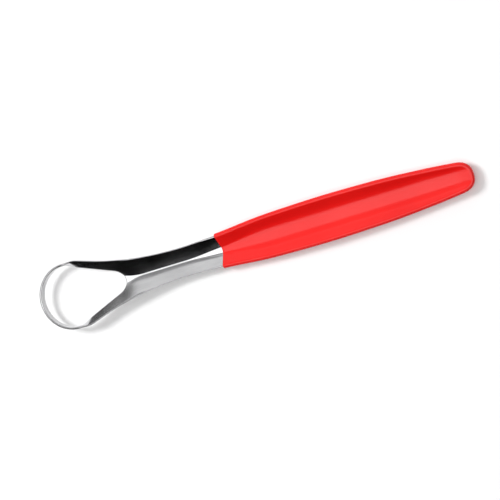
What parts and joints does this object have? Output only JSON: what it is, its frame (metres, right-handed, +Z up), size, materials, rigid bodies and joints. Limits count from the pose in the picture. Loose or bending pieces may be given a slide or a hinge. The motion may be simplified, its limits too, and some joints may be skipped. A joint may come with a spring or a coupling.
{
  "type": "tongue scraper",
  "caption": "Hand-held tongue scraper: a pressed stainless-steel sheet with a teardrop loop head and a trough-shaped neck, and a glossy red dipped grip over its tang.",
  "frame": {"origin": "under the middle of the tool's length and width, on the surface that the grip's keel rests on", "axes": "+X along the tool from the loop to the tip of the grip, +Y across it, +Z up out of the open side of the trough"},
  "size_m": [0.16, 0.0238, 0.0057],
  "materials": {
    "steel": "polished stainless steel",
    "grip": "glossy dipped vinyl"
  },
  "bodies": {
    "root": {"scraper_blade": "steel", "handle_grip": "grip"}
  },
  "joints": []
}
